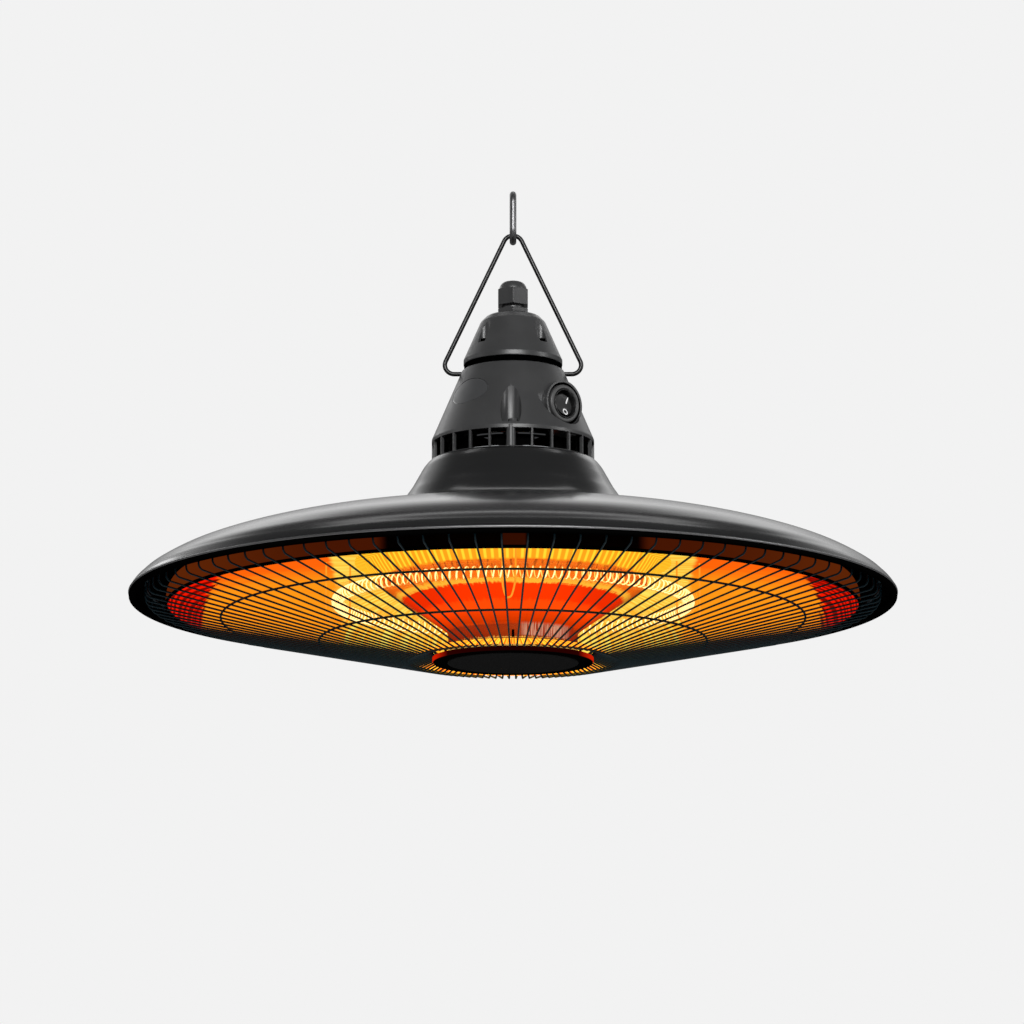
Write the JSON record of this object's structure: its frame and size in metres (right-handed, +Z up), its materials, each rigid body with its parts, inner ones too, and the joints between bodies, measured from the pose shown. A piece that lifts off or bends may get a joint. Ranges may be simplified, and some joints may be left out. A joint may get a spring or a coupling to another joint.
{
  "type": "ceiling heater",
  "caption": "Hanging electric heater: a black spun shade with a ring quartz element behind a radial wire guard, under a vented conical housing with a rocker switch and a wire bail.",
  "frame": {"origin": "inside of the top of the hanging link, where the heater hangs from its hook", "axes": "+Z up; the heater is seen from -Y, with the switch at the front right (+X, -Y) and the bail in the XZ plane"},
  "size_m": [0.58, 0.58, 0.3698],
  "materials": {
    "housing_plastic": "fine texture",
    "badge_plastic": "smooth",
    "shade_enamel": "satin black",
    "bail_wire": "satin black",
    "guard_wire": "satin dark blue-grey",
    "link_steel": "zinc plated",
    "inner_steel": "zinc plated",
    "black_rubber": "matt",
    "reflector": "bright, lit by the coil",
    "quartz": "clear",
    "coil": "glowing",
    "ceramic": "unglazed ceramic",
    "lead_sleeve": "woven sleeve",
    "hub_black": "matt black",
    "terminal_plastic": "cream"
  },
  "bodies": {
    "link": {"hanging_link": "link_steel"},
    "bail": {"bail": "bail_wire"},
    "heater": {"lower_housing": "housing_plastic", "upper_cap": "housing_plastic", "gland_body": "housing_plastic", "gland_nut": "housing_plastic", "badge_plate": "badge_plastic", "shade": "shade_enamel", "grille": "guard_wire", "support_ring_outer": "guard_wire", "support_ring_inner": "guard_wire", "rocker_pin": "inner_steel", "gland_locknut": "inner_steel", "inner_baffle": "inner_steel", "clamp_ring": "inner_steel", "heat_shield": "inner_steel", "hub_bolt": "inner_steel", "cap_gasket": "black_rubber", "gland_seal": "black_rubber", "switch_boot_ring": "black_rubber", "switch_body": "black_rubber", "reflector_pan": "reflector", "hub_reflector": "reflector", "quartz_tube": "quartz", "heating_coil": "coil", "tube_holder_1": "ceramic", "tube_holder_2": "ceramic", "lead_wire_1": "lead_sleeve", "lead_wire_2": "lead_sleeve", "terminal_block": "terminal_plastic", "hub_cap": "hub_black", "hub_plate": "hub_black", "cap_screw_1": "inner_steel", "cap_screw_2": "inner_steel", "cap_screw_3": "inner_steel", "cap_screw_4": "inner_steel", "housing_screw_1": "inner_steel", "hanger_rod_1": "inner_steel", "reflector_spacer_1": "inner_steel", "tube_clip_1": "inner_steel", "pan_hanger_1": "inner_steel", "grille_clip_1": "inner_steel", "hub_clip_1": "hub_black", "housing_screw_2": "inner_steel", "hanger_rod_2": "inner_steel", "reflector_spacer_2": "inner_steel", "tube_clip_2": "inner_steel", "pan_hanger_2": "inner_steel", "grille_clip_2": "inner_steel", "hub_clip_2": "hub_black", "housing_screw_3": "inner_steel", "hanger_rod_3": "inner_steel", "reflector_spacer_3": "inner_steel", "tube_clip_3": "inner_steel", "pan_hanger_3": "inner_steel", "grille_clip_3": "inner_steel", "hub_clip_3": "hub_black"},
    "rocker": {"switch_rocker": "black_rubber"}
  },
  "joints": [
    {"name": "link_swing", "type": "hinge", "parent": "link", "child": "bail", "pos_m": [0, 0, -0.03645], "axis": [0, 1, 0], "range_deg": [-60, 60]},
    {"name": "bail_swing", "type": "hinge", "parent": "bail", "child": "heater", "pos_m": [0, 0, -0.14116], "axis": [1, 0, 0], "range_deg": [-75, 75]},
    {"name": "rocker_switch", "type": "hinge", "parent": "heater", "child": "rocker", "pos_m": [0.03563, -0.03071, -0.17216], "axis": [0.7326, 0.6481, -0.2079], "range_deg": [0, 24]}
  ]
}
